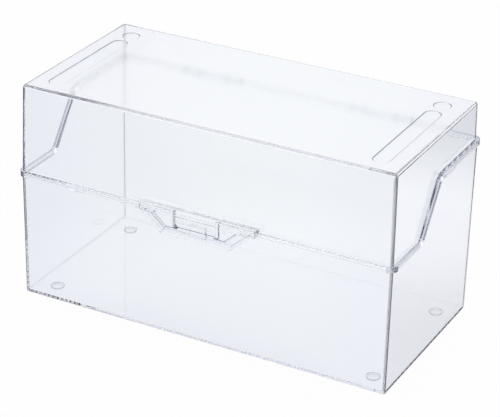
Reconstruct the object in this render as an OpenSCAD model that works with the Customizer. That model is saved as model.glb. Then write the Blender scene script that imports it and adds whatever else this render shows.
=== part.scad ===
// Clear hinged storage box: a deep moulded base, a moulded lid hinged along the rear edge,
// two hinge pins and four feet. Millimetres, +Z up, +X along the length, front at -Y,
// origin on the table under the middle of the box.

/* [Walls] */
// Outside length of the walls at the front parting line
rim_l = 297; // [235:1:370]
// Outside depth of the walls at the front parting line
rim_d = 144; // [110:1:190]
// Overall height from the table to the lid's top
overall_h = 170; // [145:1:220]
// Thickness of the side walls
wall_t = 2; // [1.2:0.1:3]
// Thickness of the base's floor
floor_t = 2.4; // [1.4:0.1:4]
// Thickness of the lid's top
top_t = 2.4; // [1.6:0.1:4]
// Slope of the base's walls, in degrees
base_draft = 0.3; // [0:0.1:1.5]
// Slope of the lid's walls, in degrees
lid_draft = 1.1; // [0:0.1:2.4]
// Outside radius of the upright corners
corner_r = 2.4; // [1:0.1:6]
// Outside radius of the lid's top edge
lid_edge_r = 2.8; // [0.6:0.1:4]
// Outside radius of the base's bottom edge
base_edge_r = 1.6; // [0.6:0.1:4]
// Radius inside the corners of both mouldings
inside_r = 0.5; // [0.3:0.1:1.5]

/* [Parting line and rim] */
// Height of the parting line along the front
front_part_z = 100; // [86:0.5:110]
// Height of the parting line along the rear
rear_part_z = 139.2; // [122:0.1:143]
// Where the parting line starts to climb on the sides
climb_start_y = -27.5; // [-40:0.5:-14]
// Where the parting line stops climbing on the sides
climb_end_y = 1.5; // [-5:0.5:20]
// Radius of the parting line's bends
bend_r = 8; // [4:0.5:12]
// How far the rim flange stands out from the walls
flange_out = 2.4; // [1.8:0.1:4]
// Thickness of each of the two rim flanges
flange_t = 2; // [1.2:0.1:3]
// Radius of the rim flange's corners in plan
flange_r = 7; // [3:0.1:10]
// Gap between the two rim flanges when the lid is closed
part_gap = 0.2; // [0.1:0.05:0.5]
// Length of the pad behind each climb of the base's rim
pad_l = 17; // [8:1:30]
// How far the pad stands out from the rim
pad_out = 0.8; // [0.4:0.1:1.5]

/* [Latch] */
// How far the lid's lip stands out from the front wall
lip_out = 6.8; // [6:0.1:9]
// Length of the lid's lip
lip_l = 95; // [90:1:125]
// Height of the lid's lip
lip_h = 5; // [4:0.1:8]
// Wall thickness of the lip, the tongue and the cradle
latch_t = 1.6; // [1.2:0.1:2]
// Width of the cradle along the parting line
cradle_top_w = 88; // [84:1:90]
// Width of the cradle at its bottom
cradle_low_w = 55.5; // [53:0.5:62]
// Drop of the cradle below the parting line
cradle_drop = 14.5; // [12.5:0.5:18]
// Height of the bar along the cradle's bottom
cradle_bar_h = 5.2; // [3:0.1:6]
// Width of the bars at the cradle's sides, level with the table
cradle_bar_w = 9.4; // [7:0.1:10]
// Gap between the tongue and the cradle around it
tongue_gap = 0.7; // [0.3:0.05:0.9]
// How far the tongue's face lies behind the lip's face
tongue_set = 0.6; // [0.3:0.1:1]
// Width of the thumb notch in the lip and tongue
notch_w = 33; // [26:1:36]
// Depth of the thumb notch
notch_depth = 2.8; // [2:0.1:3]
// Radius of the thumb notch's lower corners
notch_r = 4.5; // [2:0.1:7]
// Height of the raised band across the notch
band_h = 4.5; // [2:0.1:5]
// How far the raised band stands out
band_out = 0.6; // [0.3:0.1:1]
// Width of the catch on the front wall
catch_w = 13; // [8:1:20]
// Height of the catch above the cradle's floor
catch_h = 8.5; // [4:0.1:9.5]
// Gap between the catch and the back of the tongue
catch_gap = 0.3; // [0.2:0.05:0.6]

/* [Hinge] */
// Distance of each hinge from the middle of the box
hinge_x = 70; // [50:1:110]
// Outside radius of the hinge knuckles
knuckle_r = 2; // [1.7:0.1:3]
// Length of each of the base's knuckles
base_knuckle_l = 12; // [8:0.5:18]
// Length of the lid's knuckle
lid_knuckle_l = 24; // [14:0.5:34]
// Thickness of the arms that carry the knuckles
hinge_arm_t = 1.2; // [1:0.1:1.6]
// Gap between knuckles along the hinge
knuckle_gap = 0.3; // [0.2:0.05:0.6]
// Gap between the knuckles and the rim behind which they turn
swing_gap = 0.4; // [0.3:0.05:0.8]
// Radius of the hinge pins
pin_r = 1; // [0.7:0.05:1.2]
// Radial clearance of the pins in the lid's knuckles
pin_run = 0.05; // [0.02:0.01:0.1]
// Radial clearance of the pins in the base's knuckles
pin_hold = 0.01; // [0.01:0.01:0.03]
// Radius of the pin's head
pin_head_r = 1.6; // [1.3:0.1:2]
// Length of the pin's head
pin_head_l = 1.4; // [0.8:0.1:3]
// Angle at which the lid meets its stop, in degrees
lid_open = 105; // [95:1:115]
// Gap left at the stop
stop_gap = 0.1; // [0.05:0.05:0.4]
// Height of the heel that meets the stop
heel_h = 1; // [0.6:0.1:1.2]

/* [Feet] */
// Distance of the middle of each foot from the end walls
foot_end_in = 17.3; // [14:0.1:60]
// Distance of the middle of each foot from the front and rear walls
foot_side_in = 18.8; // [14:0.1:36]
// Radius of the feet
foot_r = 5; // [3:0.1:8]
// How far the feet stand out below the floor
foot_proud = 1.2; // [0.8:0.1:3]
// Depth of the seat that holds each foot
seat_depth = 0.6; // [0.3:0.1:0.9]
// Gap around a foot in its seat
seat_gap = 0.15; // [0.05:0.05:0.4]
// Bevel around the bottom of each foot
foot_bevel = 0.6; // [0.2:0.1:0.8]

/* [Stacking recesses in the lid] */
// Distance of the middle of the recesses from the end walls
recess_end_in = 20.5; // [17:0.1:60]
// Depth of the recesses
recess_depth = 0.35; // [0.2:0.05:1.2]
// Width of the slope around each recess
recess_slope_w = 0.3; // [0.2:0.05:1.5]
// Width of the long recess
groove_w = 12.6; // [8:0.1:16]
// Distance of the long recess from the front wall
groove_front_in = 13; // [10:0.5:40]
// Distance of the long recess from the rear wall
groove_rear_in = 33.5; // [31:0.5:50]
// Radius of the round recess
dimple_r = 6.5; // [4:0.1:8]
// Distance of the middle of the round recess from the rear wall
dimple_in = 22.3; // [16:0.1:23]

/* [Hidden] */
$fn = 64;
hull_fn = 32;
sliver = 0.01;
past = 1;
clear_tint = [0.90, 0.92, 0.97, 0.45];
pin_tint = [0.86, 0.88, 0.93, 0.6];
foot_tint = [0.95, 0.95, 0.96, 0.8];

// Parting line: level at the front, a climb on the sides, level at the rear.
climb_angle = atan2(rear_part_z - front_part_z, climb_end_y - climb_start_y);
bend_reach = bend_r * tan(climb_angle / 2);
low_bend = [climb_start_y - bend_reach, front_part_z + bend_r];
high_bend = [climb_end_y + bend_reach, rear_part_z - bend_r];
bend_steps = 8;
flange_l = rim_l + 2 * flange_out;
flange_d = rim_d + 2 * flange_out;
far = rim_l + rim_d;

// Latch, front face of each layer from the lip back to the wall.
lip_y = -(rim_d / 2 + lip_out);
tongue_y = lip_y + tongue_set;
web_y = lip_y + notch_depth;
web_back_y = web_y + latch_t;
wall_y = -rim_d / 2;
cradle_z = front_part_z - cradle_drop;
opening_z = cradle_z + cradle_bar_h;
cradle_slope = (cradle_top_w - cradle_low_w) / 2 / cradle_drop;
opening_top_w = cradle_top_w - 2 * cradle_bar_w;
lip_z = front_part_z + part_gap;
lip_top_z = lip_z + lip_h;

// Hinge axis, level with the rear parting line.
hinge_y = flange_d / 2 + swing_gap + knuckle_r;
hinge_z = rear_part_z;
hinge_l = lid_knuckle_l + 2 * (base_knuckle_l + knuckle_gap);
base_knuckle_x = (lid_knuckle_l + base_knuckle_l) / 2 + knuckle_gap;
floor_z = foot_proud + floor_t;

// Feet and stacking recesses, set in from the walls.
foot_x = rim_l / 2 - foot_end_in;
foot_y = rim_d / 2 - foot_side_in;
recess_x = rim_l / 2 - recess_end_in;
groove_front_y = groove_front_in - rim_d / 2;
groove_rear_y = rim_d / 2 - groove_rear_in;
dimple_y = rim_d / 2 - dimple_in;

// Outside length or depth of each moulding's walls at a given height.
function base_span(rim, z) = rim + 2 * (z - front_part_z) * tan(base_draft);
function lid_span(rim, z) = rim - 2 * (z - front_part_z) * tan(lid_draft);

// Width of the cradle's opening at a given height, less a gap on both sides.
function opening_w(z, gap) =
    opening_top_w - 2 * cradle_slope * (front_part_z - z) - 2 * gap * sqrt(1 + pow(cradle_slope, 2));

// Directions through which the parting line turns in a bend, in degrees from level.
bend_turns = [for (i = [0:bend_steps]) climb_angle * i / bend_steps];

// Parting line in the Y-Z plane, moved square to itself by a distance.
function parting(move) = concat(
    [[-far, front_part_z + move]],
    [for (turn = bend_turns) low_bend + (bend_r - move) * [sin(turn), -cos(turn)]],
    [for (turn = reversed(bend_turns)) high_bend + (bend_r + move) * [-sin(turn), cos(turn)]],
    [[far, rear_part_z + move]]
);

function reversed(points) = [for (i = [len(points) - 1:-1:0]) points[i]];

// Turns a drawing in the Y-Z plane into a solid along X, centred on x = 0.
module along_x(length) {
    rotate([90, 0, 90])
        linear_extrude(height = length, center = true)
            children();
}

// Turns a drawing in the X-Z plane into a solid from y_front back to y_back.
module along_y(y_front, y_back) {
    translate([0, y_back, 0])
        rotate([90, 0, 0])
            linear_extrude(height = y_back - y_front)
                children();
}

module rounded_rectangle(l, d, r) {
    square([l - 2 * r, d], center = true);
    square([l, d - 2 * r], center = true);
    for (x = [-1, 1], y = [-1, 1])
        translate([x * (l / 2 - r), y * (d / 2 - r)])
            circle(r);
}

module corner_discs(l, d, z, r) {
    for (x = [-1, 1], y = [-1, 1])
        translate([x * (l / 2 - r), y * (d / 2 - r), z])
            cylinder(r = r, h = sliver, $fn = hull_fn);
}

module corner_balls(l, d, z, r) {
    for (x = [-1, 1], y = [-1, 1])
        translate([x * (l / 2 - r), y * (d / 2 - r), z])
            sphere(r = r, $fn = hull_fn);
}

module flat_end(l, d, z, r) {
    translate([0, 0, z])
        cube([l - 2 * r, d - 2 * r, sliver], center = true);
}

// Block with sloped walls that closes in a rounded edge at end_z and is cut square at open_z.
module drafted_block(open_l, open_d, open_z, open_r, end_l, end_d, end_z, end_r) {
    inward = end_z > open_z ? -1 : 1;
    hull() {
        corner_discs(open_l, open_d, open_z, open_r);
        corner_balls(end_l, end_d, end_z + inward * end_r, end_r);
        flat_end(end_l, end_d, end_z + inward * sliver / 2, end_r);
    }
}

module base_block(inset, end_z, open_r, end_r) {
    open_z = rear_part_z + 2 * flange_t;
    drafted_block(
        base_span(rim_l, open_z) - 2 * inset, base_span(rim_d, open_z) - 2 * inset, open_z, open_r,
        base_span(rim_l, end_z) - 2 * inset, base_span(rim_d, end_z) - 2 * inset, end_z, end_r
    );
}

module lid_block(inset, end_z, open_r, end_r) {
    open_z = front_part_z - 2 * flange_t;
    drafted_block(
        lid_span(rim_l, open_z) - 2 * inset, lid_span(rim_d, open_z) - 2 * inset, open_z, open_r,
        lid_span(rim_l, end_z) - 2 * inset, lid_span(rim_d, end_z) - 2 * inset, end_z, end_r
    );
}

module below_parting() {
    along_x(far)
        polygon(concat(parting(0), [[far, -far], [-far, -far]]));
}

module above_parting() {
    along_x(far)
        polygon(concat(parting(part_gap), [[far, far], [-far, far]]));
}

// Rim flange between two lines that follow the parting line.
module rim_flange(low, high) {
    intersection() {
        along_x(far)
            polygon(concat(parting(high), reversed(parting(low))));
        linear_extrude(height = overall_h)
            rounded_rectangle(flange_l, flange_d, flange_r);
    }
}

// Pads on the outside of the base's rim, just behind the climb on each side.
module rim_pads() {
    for (x = [-1, 1])
        translate([x * flange_l / 2, high_bend[0] + pad_l / 2, rear_part_z - flange_t / 2])
            cube([2 * pad_out, pad_l, flange_t], center = true);
}

// Trapezium in the X-Z plane that narrows downwards from the parting line.
module trapezium(top_w, low_w, top_z, low_z) {
    polygon([[-top_w / 2, top_z], [top_w / 2, top_z], [low_w / 2, low_z], [-low_w / 2, low_z]]);
}

// Outline of the cradle's opening up to a given height, with a gap taken off all round.
module cradle_opening(gap, top_z) {
    low_z = opening_z + gap;
    trapezium(opening_w(top_z, gap), opening_w(low_z, gap), top_z, low_z);
}

// Tray under the front rim that the lid's tongue drops into.
module cradle() {
    side_t = latch_t * sqrt(1 + pow(cradle_slope, 2));
    difference() {
        along_y(lip_y, wall_y + wall_t / 2)
            trapezium(cradle_top_w, cradle_low_w, front_part_z, cradle_z);
        along_y(lip_y + latch_t, wall_y - sliver)
            translate([0, latch_t])
                trapezium(cradle_top_w - 2 * (side_t - latch_t * cradle_slope) + 2 * past * cradle_slope,
                    cradle_low_w - 2 * (side_t - latch_t * cradle_slope),
                    front_part_z + past, cradle_z);
        along_y(lip_y - past, lip_y + 2 * latch_t)
            cradle_opening(0, front_part_z + past);
    }
}

// Gap in the base's flange where the tongue passes.
module flange_gap() {
    translate([0, wall_y - flange_out, front_part_z - flange_t / 2])
        cube([opening_top_w, 2 * flange_out - sliver, flange_t + 2 * past], center = true);
}

module catch_block() {
    catch_front = web_back_y + catch_gap;
    translate([-catch_w / 2, catch_front, cradle_z + latch_t / 2])
        cube([catch_w, wall_y - catch_front + wall_t / 2, catch_h + latch_t / 2]);
}

module knuckle(x, length) {
    translate([x, hinge_y, hinge_z])
        rotate([0, 90, 0])
            cylinder(r = knuckle_r, h = length, center = true);
}

module hinge_bore(r) {
    for (side = [-1, 1])
        translate([side * hinge_x, hinge_y, hinge_z])
            rotate([0, 90, 0])
                cylinder(r = r, h = hinge_l + 2 * past, center = true);
}

// Base's knuckles, each on an arm that grows out of the rim below the parting line.
module base_knuckles() {
    for (side = [-1, 1], end = [-1, 1]) {
        x = side * hinge_x + end * base_knuckle_x;
        knuckle(x, base_knuckle_l);
        translate([x - base_knuckle_l / 2, rim_d / 2 - wall_t / 2, hinge_z - hinge_arm_t])
            cube([base_knuckle_l, hinge_y - rim_d / 2 + wall_t / 2, hinge_arm_t]);
    }
}

// Heel under the lid's knuckle that meets the base's rim when the lid is fully open.
module stop_heel() {
    rotate(lid_open)
        translate([flange_d / 2 + stop_gap - hinge_y, -part_gap - heel_h])
            square([knuckle_r, heel_h]);
}

// Lid's knuckles, each on an arm that grows out of the rim above the parting line.
module lid_knuckles() {
    rear_wall_y = lid_span(rim_d, hinge_z) / 2;
    for (side = [-1, 1]) {
        x = side * hinge_x;
        knuckle(x, lid_knuckle_l);
        translate([x - lid_knuckle_l / 2, rear_wall_y - wall_t / 2, hinge_z + part_gap])
            cube([lid_knuckle_l, hinge_y - rear_wall_y + wall_t / 2, hinge_arm_t]);
        translate([x, hinge_y, hinge_z])
            along_x(lid_knuckle_l)
                stop_heel();
    }
}

module foot_places() {
    for (x = [-1, 1], y = [-1, 1])
        translate([x * foot_x, y * foot_y, 0])
            children();
}

// Lip along the lid's front edge, hollow underneath on both sides of the notch.
module lip() {
    root_y = -lid_span(rim_d, lip_top_z) / 2 + wall_t / 2;
    pocket_x = notch_w / 2 + latch_t;
    pocket_y = tongue_y + latch_t;
    difference() {
        translate([-lip_l / 2, lip_y, lip_z])
            cube([lip_l, root_y - lip_y, lip_h]);
        for (side = [0, 1])
            mirror([side, 0, 0])
                translate([pocket_x, pocket_y, lip_z - past])
                    cube([
                        lip_l / 2 - latch_t - pocket_x,
                        wall_y - flange_out - pocket_y,
                        lip_h - latch_t + past
                    ]);
    }
}

// Outline of the thumb notch in the X-Z plane, with rounded lower corners.
module notch_outline() {
    low_z = opening_z;
    high_z = lip_top_z + past;
    translate([-notch_w / 2, low_z + notch_r])
        square([notch_w, high_z - low_z - notch_r]);
    translate([-notch_w / 2 + notch_r, low_z])
        square([notch_w - 2 * notch_r, notch_r + past]);
    for (x = [-1, 1])
        translate([x * (notch_w / 2 - notch_r), low_z + notch_r])
            circle(notch_r);
}

// Tongue that hangs from the lip into the cradle: a panel with a deeper block behind the thumb notch.
module tongue() {
    block_w = notch_w + 2 * latch_t;
    low_z = opening_z + tongue_gap;
    high_z = lip_z + latch_t;
    along_y(tongue_y, tongue_y + latch_t)
        cradle_opening(tongue_gap, high_z);
    translate([-block_w / 2, tongue_y, low_z])
        cube([block_w, web_back_y - tongue_y, high_z - low_z]);
}

// Raised band across the web, just below the lip.
module notch_band() {
    translate([-notch_w / 2 - past, web_y - band_out, front_part_z - band_h])
        cube([notch_w + 2 * past, band_out + latch_t / 2, band_h]);
}

// Cutter for one end of a recess: a flat floor with a slope up to the lid's top.
module recess_end(r) {
    rise = recess_depth / recess_slope_w;
    cylinder(r1 = r - recess_slope_w, r2 = r + past / rise, h = recess_depth + past);
}

module stacking_recesses() {
    floor_level = overall_h - recess_depth;
    groove_r = groove_w / 2;
    for (side = [-1, 1])
        translate([side * recess_x, 0, floor_level]) {
            hull()
                for (y = [groove_front_y + groove_r, groove_rear_y - groove_r])
                    translate([0, y, 0])
                        recess_end(groove_r);
            translate([0, dimple_y, 0])
                recess_end(dimple_r);
        }
}

module base() {
    color(clear_tint)
        difference() {
            union() {
                intersection() {
                    base_block(0, foot_proud, corner_r, base_edge_r);
                    below_parting();
                }
                difference() {
                    rim_flange(-flange_t, 0);
                    flange_gap();
                }
                rim_pads();
                cradle();
                catch_block();
                base_knuckles();
            }
            base_block(wall_t, floor_z, inside_r, inside_r);
            foot_places()
                cylinder(r = foot_r + seat_gap, h = foot_proud + seat_depth);
            hinge_bore(pin_r + pin_hold);
        }
}

module lid() {
    color(clear_tint)
        difference() {
            union() {
                intersection() {
                    lid_block(0, overall_h, corner_r, lid_edge_r);
                    above_parting();
                }
                rim_flange(part_gap, part_gap + flange_t);
                difference() {
                    union() {
                        lip();
                        tongue();
                    }
                    along_y(lip_y - past, web_y)
                        notch_outline();
                }
                notch_band();
                lid_knuckles();
            }
            lid_block(wall_t, overall_h - top_t, inside_r, inside_r);
            stacking_recesses();
            hinge_bore(pin_r + pin_run);
        }
}

// Hinge pin: a plain rod with a head at its outer end.
module hinge_pin(side) {
    color(pin_tint)
        translate([side * hinge_x, hinge_y, hinge_z])
            rotate([0, side * 90, 0]) {
                cylinder(r = pin_r, h = hinge_l, center = true);
                translate([0, 0, hinge_l / 2])
                    cylinder(r = pin_head_r, h = pin_head_l);
            }
}

// Foot: a round pad with a bevelled lower edge, seated in the floor.
module foot(x, y) {
    foot_h = foot_proud + seat_depth;
    color(foot_tint)
        translate([x * foot_x, y * foot_y, 0])
            rotate_extrude()
                polygon([
                    [0, 0], [foot_r - foot_bevel, 0], [foot_r, foot_bevel], [foot_r, foot_h], [0, foot_h]
                ]);
}

base();
lid();
hinge_pin(-1);  // hinge_pin_left
hinge_pin(1);  // hinge_pin_right
foot(-1, -1);  // foot_front_left
foot(1, -1);  // foot_front_right
foot(-1, 1);  // foot_rear_left
foot(1, 1);  // foot_rear_right
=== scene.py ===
"""Clear hinged storage box: softened mouldings, hinge pins and feet on a white stage."""

import math

import bmesh
import bpy
from bpy.props import FloatProperty, FloatVectorProperty, IntProperty, PointerProperty
from bpy.types import NodeSocket, Operator, Panel, PropertyGroup
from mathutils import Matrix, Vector


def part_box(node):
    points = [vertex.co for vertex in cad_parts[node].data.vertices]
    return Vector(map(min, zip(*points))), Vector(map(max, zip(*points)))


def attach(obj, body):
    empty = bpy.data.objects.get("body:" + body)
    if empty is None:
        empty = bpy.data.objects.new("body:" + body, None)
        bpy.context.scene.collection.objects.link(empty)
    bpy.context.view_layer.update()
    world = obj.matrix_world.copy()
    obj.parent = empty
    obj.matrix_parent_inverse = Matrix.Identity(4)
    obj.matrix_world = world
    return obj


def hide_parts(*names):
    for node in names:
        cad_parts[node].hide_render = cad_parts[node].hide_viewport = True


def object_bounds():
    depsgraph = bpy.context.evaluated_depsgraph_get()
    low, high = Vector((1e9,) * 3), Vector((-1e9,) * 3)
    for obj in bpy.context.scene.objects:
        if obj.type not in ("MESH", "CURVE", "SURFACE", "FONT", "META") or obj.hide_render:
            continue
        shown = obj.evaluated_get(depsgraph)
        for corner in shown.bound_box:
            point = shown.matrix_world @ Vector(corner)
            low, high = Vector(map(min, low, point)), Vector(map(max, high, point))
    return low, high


bl_info = {
    "name": "Clear Storage Box",
    "version": (1, 0, 0),
    "blender": (4, 5, 0),
    "location": "3D View > Sidebar > Storage Box",
    "description": "Dresses the packed storage box in clear plastic and sets it on a white stage",
    "category": "Object",
}

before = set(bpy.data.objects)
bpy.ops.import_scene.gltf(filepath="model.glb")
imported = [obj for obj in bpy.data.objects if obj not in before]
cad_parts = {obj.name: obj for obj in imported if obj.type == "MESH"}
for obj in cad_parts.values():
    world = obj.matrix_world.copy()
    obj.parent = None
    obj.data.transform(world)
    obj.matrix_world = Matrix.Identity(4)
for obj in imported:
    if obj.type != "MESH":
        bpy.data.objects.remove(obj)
cad_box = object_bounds()

BOX_END = cad_box[1][0]
BOX_TOP = cad_box[1][2]

# Marks that the meshes carry for the rounds and the materials.
WEIGHT_MARK = "bevel_weight_edge"
# Painted edge shade: each face's share of the dark edge colour.
EDGE_SHADE_MARK = "painted_edge_shade"
HAZE_MARK = "top_haze"
ROUND_SLOT = 1

# How far a part of a normal has to go for its face to count as turned, facing or flat that way.
TURNED = 0.1
FACING = 0.9
FLAT = 0.99

# Shapes. The tongue's round is TONGUE_TIMES as wide as the others, on edges longer than TONGUE_LONG.
MERGE_GAP = 1e-6
MERGE_ANGLE = math.radians(0.4)
FLAT_WEIGHT = 100
TONGUE_TIMES = 5.0
TONGUE_LONG = 0.012
ROD_ROUND_STEPS = 3
PIN_SIDES = 48
PAD_SIDES = 64
PAD_SMOOTH_ANGLE = math.radians(60)

# Share of the painted edge shade that each kind of face takes, and how far those faces reach. The painted edge
# shade is a dark colour laid on turned edges in place of the dark lines that refraction draws there.
ROUND_SHARE = 1.0
LONG_SHARE = 0.4
CORNER_SHARE = 1.0
TONGUE_SHARE = 1.0
NOTCH_SHARE = 0.2
WALL_FOOT_SHARE = 0.35
WALL_FOOT_TOP = 0.0016
SLOPE_SHARE = 0.45
RECESS_DEPTH = 0.0004
RECESS_REACH = 0.95
HAZE_DEPTH = 0.001

# Clear plastic: where painted shade deepens its tint (at the ends, near the floor, and on edges seen at a
# slant), how opaque the painted edge shade makes an edge, then its noises and what they do.
END_SHADE_START = 0.45
LOW_SHADE_REACH = 0.03
SLANT_START, SLANT_FULL = 0.2, 0.6
EDGE_SHADE_BODY = 0.9
CLOUD_SCALE, CLOUD_DETAIL = 14, 3
SCUFF_SCALE, SCUFF_DETAIL = 420, 4
SCUFF_START, SCUFF_FULL = 0.55, 0.8
POLISH_BEST, POLISH_WORN = 0.015, 0.05
RIPPLE_SCALE, RIPPLE_DETAIL = 45, 1
RIPPLE_STRENGTH, RIPPLE_HEIGHT = 0.06, 0.0004

# Soft pads.
GRAIN_SCALE, GRAIN_DETAIL = 900, 2
FROST_LEAST, FROST_MOST = 0.02, 0.1
PAD_REFRACTION = 1.45

# Stage.
FLOOR_DROP = 0.0004
SHADE_START, SHADE_FADE = 0.7, 2.0
SHADE_LEFT = 0.35
CARD_CORE = 0.75
RIGHT_CARD_SIZE = math.radians(55)
LEFT_CARD_SIZE = math.radians(40)
FRONT_CARD_SIZE = math.radians(38)
CARD_RISE_START, CARD_RISE_FULL = 0.02, 0.2
KEY_PLACE = (-0.5, -0.2, 1.8)
KEY_SIZE = 1.6
KEY_AIM = (0, 0, 0.08)
SENSOR_WIDTH = 36
WHITE = (1, 1, 1, 1)
SOFT = "SMOOTHSTEP"


class MouldingSettings(PropertyGroup):
    """Edges and plastic of the base and the lid."""

    edge_round: FloatProperty(
        name="Edge round", description="Width of the small round on every moulded edge",
        default=0.00015, min=0.00002, max=0.0006, unit="LENGTH")
    round_steps: IntProperty(
        name="Round steps", description="Faces across each small round", default=2, min=1, max=4)
    smooth_angle: FloatProperty(
        name="Smooth angle", description="Edges flatter than this get no round",
        default=math.radians(32), subtype="ANGLE")
    tint_pale: FloatVectorProperty(
        name="Pale tint", description="Colour of the plastic where it is clearest",
        size=4, subtype="COLOR", min=0, max=1, default=(0.974, 0.986, 0.998, 1))
    tint_cloud: FloatVectorProperty(
        name="Cloud tint", description="Colour of the plastic in its faint flow clouds",
        size=4, subtype="COLOR", min=0, max=1, default=(0.955, 0.971, 0.992, 1))
    # Painted shade: the plastic is made darker at the ends of the box and near the floor.
    end_shade_tint: FloatVectorProperty(
        name="End shade tint", description="Colour of the plastic at the ends of the box and near the floor",
        size=4, subtype="COLOR", min=0, max=1, default=(0.93, 0.943, 0.975, 1))
    # Painted edge shade: a dark colour on the edges that stands in for the dark lines that refraction draws
    # there.
    edge_shade_tint: FloatVectorProperty(
        name="Edge shade tint", description="Colour of the plastic where its edges turn",
        size=4, subtype="COLOR", min=0, max=1, default=(0.09, 0.09, 0.24, 1))
    top_haze: FloatProperty(
        name="Top haze", description="Roughness of the faintly frosted top", default=0.12, min=0, max=1)
    bulk_colour: FloatVectorProperty(
        name="Bulk colour", description="Colour that light takes on along the inside of a wall",
        size=4, subtype="COLOR", min=0, max=1, default=(0.4, 0.4, 0.62, 1))
    bulk_density: FloatProperty(
        name="Bulk density", description="How fast light takes on the bulk colour, per metre",
        default=1.2, min=0)
    # Painted edge shade is weakest where an edge is seen straight on.
    edge_shade_facing: FloatProperty(
        name="Edge shade facing", description="Share of the edge tint where an edge is looked at straight on",
        default=0.25, min=0, max=1, subtype="FACTOR")
    tongue_low: FloatProperty(
        name="Tongue low", description="Height below which an edge belongs to the foot of the tongue",
        default=0.094, unit="LENGTH")
    tongue_top: FloatProperty(
        name="Tongue top", description="Height below which the lid is only its latch tongue",
        default=0.0985, unit="LENGTH")
    refraction: FloatProperty(
        name="Refraction", description="Index of refraction of the plastic", default=1.57, min=1.3, max=1.8)


class PinSettings(PropertyGroup):
    """Hinge pins."""

    rod_radius: FloatProperty(
        name="Rod radius", description="Radius of the rod behind the head", default=0.001, unit="LENGTH")
    head_length: FloatProperty(
        name="Head length", description="Length of the head", default=0.0014, unit="LENGTH")
    edge_round: FloatProperty(
        name="Edge round", description="Round on the ends of a pin and its head",
        default=0.0003, unit="LENGTH")


class FootSettings(PropertyGroup):
    """Round feet."""

    edge_round: FloatProperty(
        name="Edge round", description="Round on the sharp edges of a foot", default=0.0006, unit="LENGTH")
    cup_rim: FloatProperty(
        name="Cup rim", description="Width of the ring that a foot stands on", default=0.0012, unit="LENGTH")
    cup_depth: FloatProperty(
        name="Cup depth", description="Depth of the shallow cup inside that ring",
        default=0.0003, unit="LENGTH")
    seat_play: FloatProperty(
        name="Seat play", description="Air between a foot and the top of its seat",
        default=0.00005, unit="LENGTH")
    tint: FloatVectorProperty(
        name="Tint", description="Colour of the soft pads",
        size=4, subtype="COLOR", min=0, max=1, default=(0.98, 0.982, 0.99, 1))
    tint_grain: FloatVectorProperty(
        name="Grain tint", description="Colour of the soft pads where their grain is deepest",
        size=4, subtype="COLOR", min=0, max=1, default=(0.93, 0.935, 0.955, 1))


class StageSettings(PropertyGroup):
    """Floor, light and camera."""

    floor_size: FloatProperty(
        name="Floor size", description="Side of the square floor", default=14, unit="LENGTH")
    floor_colour: FloatVectorProperty(
        name="Floor colour", description="Colour of the floor",
        size=4, subtype="COLOR", min=0, max=1, default=(0.8, 0.8, 0.8, 1))
    floor_glow: FloatProperty(
        name="Floor glow", description="Share of plain white in the floor as the picture shows it",
        default=0.98, min=0, max=1, subtype="FACTOR")
    pool_place: FloatVectorProperty(
        name="Pool place", description="Middle of the pool of light that the floor shows in reflections",
        size=3, unit="LENGTH", subtype="XYZ", default=(0.2, -0.05, 0))
    pool_core: FloatProperty(
        name="Pool core", description="Radius inside which the pool is white", default=0.28, unit="LENGTH")
    pool_reach: FloatProperty(
        name="Pool reach", description="Radius at which the pool has faded", default=0.46, unit="LENGTH")
    pool_dim: FloatProperty(
        name="Pool dim", description="Brightness of the floor in reflections outside the pool",
        default=0.05, min=0, max=1, subtype="FACTOR")
    shade_size: FloatVectorProperty(
        name="Shade size", description="Half sizes of the box's own shade that the floor shows in reflections",
        size=3, unit="LENGTH", subtype="XYZ", default=(0.18, 0.105, 1))
    light_steps: IntProperty(
        name="Light steps", description="How often light may bend or bounce inside the plastic", default=96)
    key_power: FloatProperty(
        name="Key power", description="Power of the overhead softbox in watts", default=10, subtype="POWER")
    surround: FloatVectorProperty(
        name="Surround", description="Colour of the studio around the box",
        size=4, subtype="COLOR", min=0, max=1, default=(1, 1, 1, 1))
    card_colour: FloatVectorProperty(
        name="Card colour", description="Colour of the dark cards that draw the edges of the clear plastic",
        size=4, subtype="COLOR", min=0, max=1, default=(0.05, 0.05, 0.11, 1))
    card_right: FloatVectorProperty(
        name="Right card", description="Direction of the middle of the dark card on the right",
        size=3, subtype="DIRECTION", default=(0.95, 0, 0.3))
    card_left: FloatVectorProperty(
        name="Left card", description="Direction of the middle of the dark card on the left",
        size=3, subtype="DIRECTION", default=(-0.99, 0, 0.15))
    card_front: FloatVectorProperty(
        name="Front card", description="Direction of the middle of the dark card high in front",
        size=3, subtype="DIRECTION", default=(0, -0.64, 0.77))
    camera_place: FloatVectorProperty(
        name="Camera place", description="Where the camera stands",
        size=3, unit="LENGTH", subtype="XYZ", default=(0.6137, -1.179, 0.744))
    camera_turn: FloatVectorProperty(
        name="Camera turn", description="Turn of the camera about X, Y and Z", size=3, subtype="EULER",
        default=(math.radians(63.368), math.radians(-1.227), math.radians(28.011)))
    lens: FloatProperty(
        name="Lens", description="Focal length on a sensor 36 mm wide, in millimetres", default=146.05)


class StorageBoxSettings(PropertyGroup):
    """All settings of the storage box."""

    moulding: PointerProperty(type=MouldingSettings)
    pin: PointerProperty(type=PinSettings)
    foot: PointerProperty(type=FootSettings)
    stage: PointerProperty(type=StageSettings)


def settings_of(context):
    """All settings of the storage box in the open scene."""
    return context.scene.storage_box


def deselect_all():
    """Leaves edit mode and selects nothing."""
    if bpy.context.object and bpy.context.object.mode != "OBJECT":
        bpy.ops.object.mode_set(mode="OBJECT")
    bpy.ops.object.select_all(action="DESELECT")


def make_active(piece):
    """Selects one piece only, for the operators that follow."""
    deselect_all()
    piece.select_set(True)
    bpy.context.view_layer.objects.active = piece


def middle(node):
    """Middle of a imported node's box."""
    low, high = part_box(node)
    return (Vector(low) + Vector(high)) / 2


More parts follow.
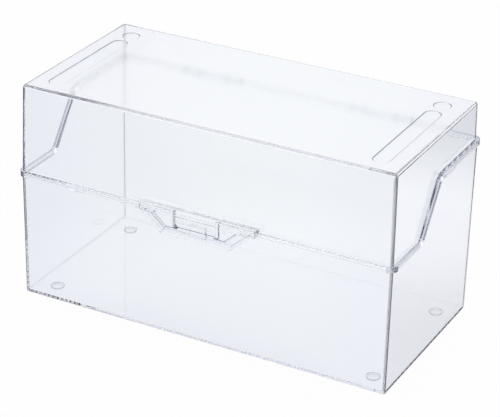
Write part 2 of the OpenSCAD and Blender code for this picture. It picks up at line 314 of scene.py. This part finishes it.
def merged_copy(node, name):
    """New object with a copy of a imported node's mesh, its loose triangles joined into flat faces."""
    piece = bpy.data.objects.new(name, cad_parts[node].data.copy())
    piece.data.materials.clear()
    bpy.context.scene.collection.objects.link(piece)
    make_active(piece)
    bpy.ops.object.mode_set(mode="EDIT")
    bpy.ops.mesh.select_mode(type="VERT")
    bpy.ops.mesh.select_all(action="SELECT")
    bpy.ops.mesh.customdata_custom_splitnormals_clear()
    bpy.ops.mesh.remove_doubles(threshold=MERGE_GAP)
    bpy.ops.mesh.dissolve_limited(angle_limit=MERGE_ANGLE, delimit=set())
    bpy.ops.object.mode_set(mode="OBJECT")
    return piece


def rod_between(name, low, high, level, radius, sides):
    """Cylinder that fills the space between two corners, level along X or upright."""
    low, high = Vector(low), Vector(high)
    span = high - low
    deselect_all()
    bpy.ops.mesh.primitive_cylinder_add(
        vertices=sides, radius=radius, depth=span.x if level else span.z,
        location=(low + high) / 2, rotation=(0, math.pi / 2 if level else 0, 0))
    piece = bpy.context.object
    piece.name = name
    bpy.ops.object.transform_apply(location=True, rotation=True, scale=True)
    return piece


def select_faces(piece, wanted):
    """Selects the faces that pass a test, in edit mode."""
    bpy.ops.object.mode_set(mode="EDIT")
    bpy.ops.mesh.select_mode(type="FACE")
    bpy.ops.mesh.select_all(action="DESELECT")
    bpy.ops.object.mode_set(mode="OBJECT")
    for face in piece.data.polygons:
        face.select = wanted(face)
    bpy.ops.object.mode_set(mode="EDIT")


def own_copy(piece, name, move):
    """Copy of a finished piece with a mesh of its own, moved inside that mesh."""
    copy = bpy.data.objects.new(name, piece.data.copy())
    bpy.context.scene.collection.objects.link(copy)
    make_active(copy)
    bpy.ops.object.mode_set(mode="EDIT")
    bpy.ops.mesh.select_all(action="SELECT")
    bpy.ops.transform.translate(value=move)
    bpy.ops.object.mode_set(mode="OBJECT")
    return copy


def weigh_edges(piece, smooth_angle, tongue_low):
    """Gives every sharp edge its share of the round: the tongue's long lower edges take all of it."""
    shape = bmesh.new()
    shape.from_mesh(piece.data)
    weights = shape.edges.layers.float.new(WEIGHT_MARK)
    for edge in shape.edges:
        if edge.calc_face_angle(0) < smooth_angle:
            continue
        is_low = min(corner.co.z for corner in edge.verts) < tongue_low
        is_long = edge.calc_length() > TONGUE_LONG
        is_front = any(face.normal.y < -FLAT for face in edge.link_faces)
        is_under = any(face.normal.z < -TURNED for face in edge.link_faces)
        is_tongue = is_low and is_long and is_front and is_under
        edge[weights] = 1 if is_tongue else 1 / TONGUE_TIMES
    shape.to_mesh(piece.data)
    shape.free()


def edge_shade_share(face, tongue_top):
    """Share of the painted edge shade for a face: rounds, corners, tongue, foot of the walls and recess
    slopes.
    """
    across, deep, high = (abs(part) > TURNED for part in face.normal)
    in_tongue = face.center.z < tongue_top
    is_under = face.normal.z < -TURNED
    if face.material_index == ROUND_SLOT:
        if in_tongue and is_under:
            return TONGUE_SHARE
        return ROUND_SHARE if across else LONG_SHARE
    if across and deep and not high:
        return CORNER_SHARE
    if in_tongue and not deep:
        return TONGUE_SHARE if is_under else NOTCH_SHARE
    if face.center.z < WALL_FOOT_TOP and deep and high:
        return WALL_FOOT_SHARE
    in_top = face.center.z > BOX_TOP - RECESS_DEPTH and abs(face.center.x) < BOX_END * RECESS_REACH
    if in_top and high and across:
        return SLOPE_SHARE
    return 0


def haze_share(face):
    """1 for the flat faces of the lid's top, 0 for all others."""
    return float(face.normal.z > FLAT and face.center.z > BOX_TOP - HAZE_DEPTH)


def mark_faces(piece, name, share_of):
    """Writes a share for every face into an attribute that the material reads."""
    marks = piece.data.attributes.new(name, "FLOAT", "FACE")
    for face, mark in zip(piece.data.polygons, marks.data):
        mark.value = share_of(face)


def round_edges(piece, width, steps, smooth_angle, tongue_top=0, tongue_low=0):
    """Puts a small round on every sharp edge, marks the faces for the plastic and shades them smooth."""
    make_active(piece)
    # One empty slot for the walls and one for the rounds, so that the rounds can be told apart.
    piece.data.materials.append(None)
    piece.data.materials.append(None)
    weigh_edges(piece, smooth_angle, tongue_low)
    bevel = piece.modifiers.new("edge_round", "BEVEL")
    bevel.width = width * TONGUE_TIMES
    bevel.segments = steps
    bevel.limit_method = "WEIGHT"
    bevel.use_clamp_overlap = False
    bevel.material = ROUND_SLOT
    bpy.ops.object.modifier_apply(modifier=bevel.name)
    mark_faces(piece, EDGE_SHADE_MARK, lambda face: edge_shade_share(face, tongue_top))
    mark_faces(piece, HAZE_MARK, haze_share)
    for face in piece.data.polygons:
        face.material_index = 0
    piece.data.materials.clear()
    bpy.ops.object.shade_smooth()
    flats = piece.modifiers.new("flat_faces", "WEIGHTED_NORMAL")
    flats.weight = FLAT_WEIGHT
    flats.keep_sharp = False
    bpy.ops.object.modifier_apply(modifier=flats.name)


def hand_over(piece, material, node, body):
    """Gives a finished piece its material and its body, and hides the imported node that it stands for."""
    piece.data.materials.append(material)
    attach(piece, body)
    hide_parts(node)


def plug(tree, socket, value):
    """Links a node's output to a socket, or sets the socket where the value is a constant."""
    if isinstance(value, NodeSocket):
        tree.links.new(value, socket)
    else:
        socket.default_value = value


def calculate(tree, operation, *values):
    """Result of a maths node."""
    node = tree.nodes.new("ShaderNodeMath")
    node.operation = operation
    for socket, value in zip(node.inputs, values):
        plug(tree, socket, value)
    return node.outputs["Value"]


def work_vectors(tree, operation, *vectors, result="Value"):
    """Result of a vector maths node, a number unless the vector is asked for."""
    node = tree.nodes.new("ShaderNodeVectorMath")
    node.operation = operation
    for socket, vector in zip(node.inputs, vectors):
        plug(tree, socket, vector)
    return node.outputs[result]


def split_vector(tree, vector):
    """Outputs with the three parts of a vector."""
    node = tree.nodes.new("ShaderNodeSeparateXYZ")
    tree.links.new(vector, node.inputs["Vector"])
    return node.outputs


def ramp(tree, value, start, full, low=0, high=1, curve="LINEAR"):
    """Number that runs from low to high while a value runs from start to full."""
    node = tree.nodes.new("ShaderNodeMapRange")
    node.interpolation_type = curve
    limits = {"Value": value, "From Min": start, "From Max": full, "To Min": low, "To Max": high}
    for name, limit in limits.items():
        plug(tree, node.inputs[name], limit)
    return node.outputs["Result"]


def noise(tree, place, scale, detail):
    """Noise at a place, from 0 to 1."""
    node = tree.nodes.new("ShaderNodeTexNoise")
    for name, value in (("Vector", place), ("Scale", scale), ("Detail", detail)):
        plug(tree, node.inputs[name], value)
    return node.outputs["Fac"]


def blend(tree, share, first, second):
    """Mix of two colours."""
    node = tree.nodes.new("ShaderNodeMix")
    node.data_type = "RGBA"
    for name, value in (("Factor", share), ("A", first), ("B", second)):
        plug(tree, node.inputs[name], value)
    return node.outputs["Result"]


def blend_shaders(tree, share, first, second):
    """Mix of two shaders."""
    node = tree.nodes.new("ShaderNodeMixShader")
    for socket, value in zip(node.inputs, (share, first, second)):
        tree.links.new(value, socket)
    return node.outputs["Shader"]


def face_mark(tree, name):
    """Share that mark_faces wrote for the face."""
    node = tree.nodes.new("ShaderNodeAttribute")
    node.attribute_name = name
    return node.outputs["Fac"]


def new_material(name):
    """New material with its plain nodes."""
    material = bpy.data.materials.new(name)
    material.use_nodes = True
    return material


def cloud_and_shade_tint(tree, place, settings):
    """Colour of the plastic: faint flow clouds, with painted shade deeper at the ends of the box and near the
    floor.
    """
    clouds = noise(tree, place, CLOUD_SCALE, CLOUD_DETAIL)
    tint = blend(tree, clouds, settings.tint_pale, settings.tint_cloud)
    parts = split_vector(tree, place)
    outwards = calculate(tree, "ABSOLUTE", parts["X"])
    # Painted shade: darker towards the ends of the box and near the floor.
    end = ramp(tree, outwards, BOX_END * END_SHADE_START, BOX_END, curve=SOFT)
    low = ramp(tree, parts["Z"], LOW_SHADE_REACH, 0, curve=SOFT)
    return blend(tree, calculate(tree, "MAXIMUM", low, end), tint, settings.end_shade_tint)


def edge_shade_depth(tree, settings):
    """How deep the painted edge shade goes: by the face's own share, and most where the face is seen at a
    slant.
    """
    slant = tree.nodes.new("ShaderNodeLayerWeight").outputs["Facing"]
    reach = ramp(tree, slant, SLANT_START, SLANT_FULL, low=settings.edge_shade_facing)
    return calculate(tree, "MULTIPLY", face_mark(tree, EDGE_SHADE_MARK), reach)


def polish(tree, place, settings):
    """Roughness: faint scuffs, and the frost of the top for light that meets it from outside."""
    scuffs = noise(tree, place, SCUFF_SCALE, SCUFF_DETAIL)
    worn = ramp(tree, scuffs, SCUFF_START, SCUFF_FULL, POLISH_BEST, POLISH_WORN)
    inside = tree.nodes.new("ShaderNodeNewGeometry").outputs["Backfacing"]
    outer = ramp(tree, inside, 0, 1, settings.top_haze, 0)
    haze = calculate(tree, "MULTIPLY", face_mark(tree, HAZE_MARK), outer)
    return calculate(tree, "MAXIMUM", worn, haze)


def ripples(tree, place):
    """Faint waves in the moulded surface."""
    bump = tree.nodes.new("ShaderNodeBump")
    bump.inputs["Strength"].default_value = RIPPLE_STRENGTH
    bump.inputs["Distance"].default_value = RIPPLE_HEIGHT
    tree.links.new(noise(tree, place, RIPPLE_SCALE, RIPPLE_DETAIL), bump.inputs["Height"])
    return bump.outputs["Normal"]


def clear_plastic(name, settings):
    """Clear moulded plastic: faint flow clouds, painted shade on the edges and towards the ends and the floor,
    polish scuffs and a blue-grey bulk.
    """
    material = new_material(name)
    tree = material.node_tree
    shader = tree.nodes["Principled BSDF"]
    place = tree.nodes.new("ShaderNodeTexCoord").outputs["Object"]
    depth = edge_shade_depth(tree, settings)
    # Painted shade: the edge marks darken the colour and make the plastic less clear there, in place of the
    # dark lines that refraction draws on edges.
    colour = blend(tree, depth, cloud_and_shade_tint(tree, place, settings), settings.edge_shade_tint)
    clear = ramp(tree, depth, 0, 1, 1, 1 - EDGE_SHADE_BODY)
    tree.links.new(colour, shader.inputs["Base Color"])
    tree.links.new(polish(tree, place, settings), shader.inputs["Roughness"])
    tree.links.new(ripples(tree, place), shader.inputs["Normal"])
    tree.links.new(clear, shader.inputs["Transmission Weight"])
    shader.inputs["IOR"].default_value = settings.refraction
    bulk = tree.nodes.new("ShaderNodeVolumeAbsorption")
    bulk.inputs["Color"].default_value = settings.bulk_colour
    bulk.inputs["Density"].default_value = settings.bulk_density
    tree.links.new(bulk.outputs["Volume"], tree.nodes["Material Output"].inputs["Volume"])
    return material


def soft_pad(name, settings):
    """Clear soft plastic of the feet, faintly frosted."""
    material = new_material(name)
    tree = material.node_tree
    shader = tree.nodes["Principled BSDF"]
    place = tree.nodes.new("ShaderNodeTexCoord").outputs["Object"]
    grain = noise(tree, place, GRAIN_SCALE, GRAIN_DETAIL)
    frost = ramp(tree, grain, 0, 1, FROST_LEAST, FROST_MOST)
    tree.links.new(frost, shader.inputs["Roughness"])
    tree.links.new(blend(tree, grain, settings.tint, settings.tint_grain), shader.inputs["Base Color"])
    shader.inputs["Transmission Weight"].default_value = 1
    shader.inputs["IOR"].default_value = PAD_REFRACTION
    return material


def floor_pool(tree, settings):
    """Brightness of the floor in reflections: a pool of light with the box's own shade in it."""
    place = tree.nodes.new("ShaderNodeTexCoord").outputs["Object"]
    away = work_vectors(tree, "DISTANCE", place, settings.pool_place)
    fade = ramp(tree, away, settings.pool_core, settings.pool_reach, 1, settings.pool_dim, SOFT)
    under = work_vectors(tree, "DIVIDE", place, settings.shade_size, result="Vector")
    outside = work_vectors(tree, "LENGTH", under)
    shade = ramp(tree, outside, SHADE_START, SHADE_FADE, low=SHADE_LEFT, curve=SOFT)
    return calculate(tree, "MULTIPLY", fade, shade)


def floor_material(settings):
    """Pale floor that keeps shadows, reads as white through the plastic and shows its pool in gloss."""
    material = new_material("pale_floor")
    tree = material.node_tree
    tree.nodes.remove(tree.nodes["Principled BSDF"])
    paper = tree.nodes.new("ShaderNodeBsdfDiffuse")
    paper.inputs["Color"].default_value = settings.floor_colour
    white = tree.nodes.new("ShaderNodeEmission")
    pool = tree.nodes.new("ShaderNodeEmission")
    tree.links.new(floor_pool(tree, settings), pool.inputs["Strength"])
    rays = tree.nodes.new("ShaderNodeLightPath").outputs
    seen = calculate(tree, "MAXIMUM", rays["Is Camera Ray"], rays["Is Transmission Ray"])
    glow = calculate(tree, "MULTIPLY", seen, settings.floor_glow)
    shown = blend_shaders(tree, glow, paper.outputs["BSDF"], white.outputs["Emission"])
    mirrored = calculate(tree, "SUBTRACT", rays["Is Glossy Ray"], rays["Is Transmission Ray"])
    mirrored.node.use_clamp = True
    either = blend_shaders(tree, mirrored, shown, pool.outputs["Emission"])
    tree.links.new(either, tree.nodes["Material Output"].inputs["Surface"])
    return material


def soft_card(tree, direction, card_way, size):
    """Share of a soft round card in a direction of the surround: 1 at its middle, 0 outside it."""
    facing = work_vectors(tree, "DOT_PRODUCT", direction, Vector(card_way).normalized())
    return ramp(tree, facing, math.cos(size), math.cos(size * CARD_CORE), curve=SOFT)


def studio_world(settings):
    """White background, and a white surround with dark cards above the horizon that draw clear edges."""
    world = bpy.data.worlds.new("white_studio")
    bpy.context.scene.world = world
    world.use_nodes = True
    tree = world.node_tree
    direction = tree.nodes.new("ShaderNodeTexCoord").outputs["Generated"]
    dark = soft_card(tree, direction, settings.card_right, RIGHT_CARD_SIZE)
    for card_way, size in ((settings.card_left, LEFT_CARD_SIZE), (settings.card_front, FRONT_CARD_SIZE)):
        dark = calculate(tree, "MAXIMUM", dark, soft_card(tree, direction, card_way, size))
    height = split_vector(tree, direction)["Z"]
    rise = ramp(tree, height, CARD_RISE_START, CARD_RISE_FULL, curve=SOFT)
    cards = calculate(tree, "MULTIPLY", dark, rise)
    surround = tree.nodes["Background"]
    tree.links.new(blend(tree, cards, settings.surround, settings.card_colour), surround.inputs["Color"])
    white = tree.nodes.new("ShaderNodeBackground")
    white.inputs["Color"].default_value = WHITE
    rays = tree.nodes.new("ShaderNodeLightPath").outputs
    pick = blend_shaders(
        tree, rays["Is Camera Ray"], surround.outputs["Background"], white.outputs["Background"])
    tree.links.new(pick, tree.nodes["World Output"].inputs["Surface"])


class STORAGEBOX_OT_base(Operator):
    """Clear base moulding with small rounds on its edges"""

    bl_idname = "storagebox.base"
    bl_label = "Base Moulding"

    def execute(self, context):
        settings = settings_of(context).moulding
        piece = merged_copy("base", "base_moulding")
        round_edges(piece, settings.edge_round, settings.round_steps, settings.smooth_angle)
        hand_over(piece, clear_plastic("clear_base_plastic", settings), "base", "base")
        return {"FINISHED"}


class STORAGEBOX_OT_lid(Operator):
    """Clear lid moulding with small rounds on its edges"""

    bl_idname = "storagebox.lid"
    bl_label = "Lid Moulding"

    def execute(self, context):
        settings = settings_of(context).moulding
        piece = merged_copy("lid", "lid_moulding")
        round_edges(
            piece, settings.edge_round, settings.round_steps, settings.smooth_angle,
            settings.tongue_top, settings.tongue_low)
        hand_over(piece, clear_plastic("clear_lid_plastic", settings), "lid", "lid")
        return {"FINISHED"}


class STORAGEBOX_OT_pins(Operator):
    """Hinge pins: a clear rod with a head at its outer end"""

    bl_idname = "storagebox.pins"
    bl_label = "Hinge Pins"

    def execute(self, context):
        settings = settings_of(context)
        material = clear_plastic("pin_plastic", settings.moulding)
        for side, out in (("left", -1), ("right", 1)):
            node = f"hinge_pin_{side}"
            low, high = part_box(node)
            head_radius = (high[2] - low[2]) / 2
            ends = [low[0], high[0]]
            tip = 0 if out < 0 else 1
            ends[tip] -= out * settings.pin.head_length
            piece = rod_between(
                f"hinge_rod_{side}", (ends[0], low[1], low[2]), (ends[1], high[1], high[2]),
                level=True, radius=settings.pin.rod_radius, sides=PIN_SIDES)
            grow = head_radius / settings.pin.rod_radius
            select_faces(piece, lambda face: face.normal.x * out > FACING)
            bpy.ops.mesh.extrude_region_move()
            bpy.ops.transform.resize(
                value=(1, grow, grow), center_override=(ends[tip], *middle(node)[1:]))
            bpy.ops.mesh.extrude_region_move(
                TRANSFORM_OT_translate={"value": (out * settings.pin.head_length, 0, 0)})
            bpy.ops.object.mode_set(mode="OBJECT")
            round_edges(
                piece, settings.pin.edge_round, ROD_ROUND_STEPS, settings.moulding.smooth_angle)
            hand_over(piece, material, node, "base")
        return {"FINISHED"}


class STORAGEBOX_OT_feet(Operator):
    """Round feet under the corners, each a soft clear pad with a shallow cup in its underside"""

    bl_idname = "storagebox.feet"
    bl_label = "Feet"

    def execute(self, context):
        settings = settings_of(context).foot
        material = soft_pad("foot_soft_plastic", settings)
        first = "foot_front_left"
        low, high = (Vector(corner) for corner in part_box(first))
        high.z -= settings.seat_play
        pattern = rod_between(
            "pad_front_left", low, high, level=False, radius=(high.x - low.x) / 2, sides=PAD_SIDES)
        select_faces(pattern, lambda face: face.normal.z < -FACING)
        bpy.ops.mesh.inset(thickness=settings.cup_rim, depth=0)
        bpy.ops.mesh.inset(thickness=settings.cup_depth, depth=-settings.cup_depth)
        bpy.ops.object.mode_set(mode="OBJECT")
        round_edges(pattern, settings.edge_round, ROD_ROUND_STEPS, PAD_SMOOTH_ANGLE)
        for row in ("front", "rear"):
            for side in ("left", "right"):
                node = f"foot_{row}_{side}"
                piece = pattern
                if node != first:
                    piece = own_copy(pattern, f"pad_{row}_{side}", middle(node) - middle(first))
                    piece.data.materials.clear()
                hand_over(piece, material, node, "base")
        return {"FINISHED"}


class STORAGEBOX_OT_stage(Operator):
    """Pale floor, soft studio light and the camera"""

    bl_idname = "storagebox.stage"
    bl_label = "Stage"

    def execute(self, context):
        settings = settings_of(context).stage
        deselect_all()
        bpy.ops.mesh.primitive_plane_add(size=settings.floor_size, location=(0, 0, -FLOOR_DROP))
        floor = context.object
        floor.name = "floor"
        floor.data.materials.append(floor_material(settings))
        studio_world(settings)

        deselect_all()
        bpy.ops.object.light_add(type="AREA", location=KEY_PLACE)
        key = context.object
        key.name = "overhead_softbox"
        key.data.shape = "SQUARE"
        key.data.size = KEY_SIZE
        key.data.energy = settings.key_power
        aim = Vector(KEY_AIM) - key.location
        key.rotation_euler = aim.to_track_quat("-Z", "Y").to_euler()

        deselect_all()
        bpy.ops.object.camera_add(location=settings.camera_place, rotation=settings.camera_turn)
        camera = context.object
        camera.data.lens = settings.lens
        camera.data.sensor_width = SENSOR_WIDTH
        camera.data.sensor_fit = "HORIZONTAL"
        context.scene.camera = camera
        context.scene.view_settings.view_transform = "Standard"
        context.scene.cycles.max_bounces = settings.light_steps
        context.scene.cycles.transmission_bounces = settings.light_steps
        context.scene.cycles.glossy_bounces = settings.light_steps
        return {"FINISHED"}


class STORAGEBOX_PT_panel(Panel):
    """Steps and settings of the storage box"""

    bl_idname = "STORAGEBOX_PT_panel"
    bl_label = "Storage Box"
    bl_space_type = "VIEW_3D"
    bl_region_type = "UI"
    bl_category = "Storage Box"

    def draw(self, context):
        layout = self.layout
        for step in STEPS:
            layout.operator(step.bl_idname)
        settings = settings_of(context)
        for group in (settings.moulding, settings.pin, settings.foot, settings.stage):
            box = layout.box()
            for name in group.__annotations__:
                box.prop(group, name)


GROUPS = (MouldingSettings, PinSettings, FootSettings, StageSettings, StorageBoxSettings)
STEPS = (
    STORAGEBOX_OT_base,
    STORAGEBOX_OT_lid,
    STORAGEBOX_OT_pins,
    STORAGEBOX_OT_feet,
    STORAGEBOX_OT_stage,
)
CLASSES = GROUPS + STEPS + (STORAGEBOX_PT_panel,)


def register():
    for kind in CLASSES:
        bpy.utils.register_class(kind)
    bpy.types.Scene.storage_box = PointerProperty(type=StorageBoxSettings)


def unregister():
    del bpy.types.Scene.storage_box
    for kind in reversed(CLASSES):
        bpy.utils.unregister_class(kind)


def main():
    register()
    bpy.ops.storagebox.base()
    bpy.ops.storagebox.lid()
    bpy.ops.storagebox.pins()
    bpy.ops.storagebox.feet()
    bpy.ops.storagebox.stage()


if __name__ == "__main__":
    main()
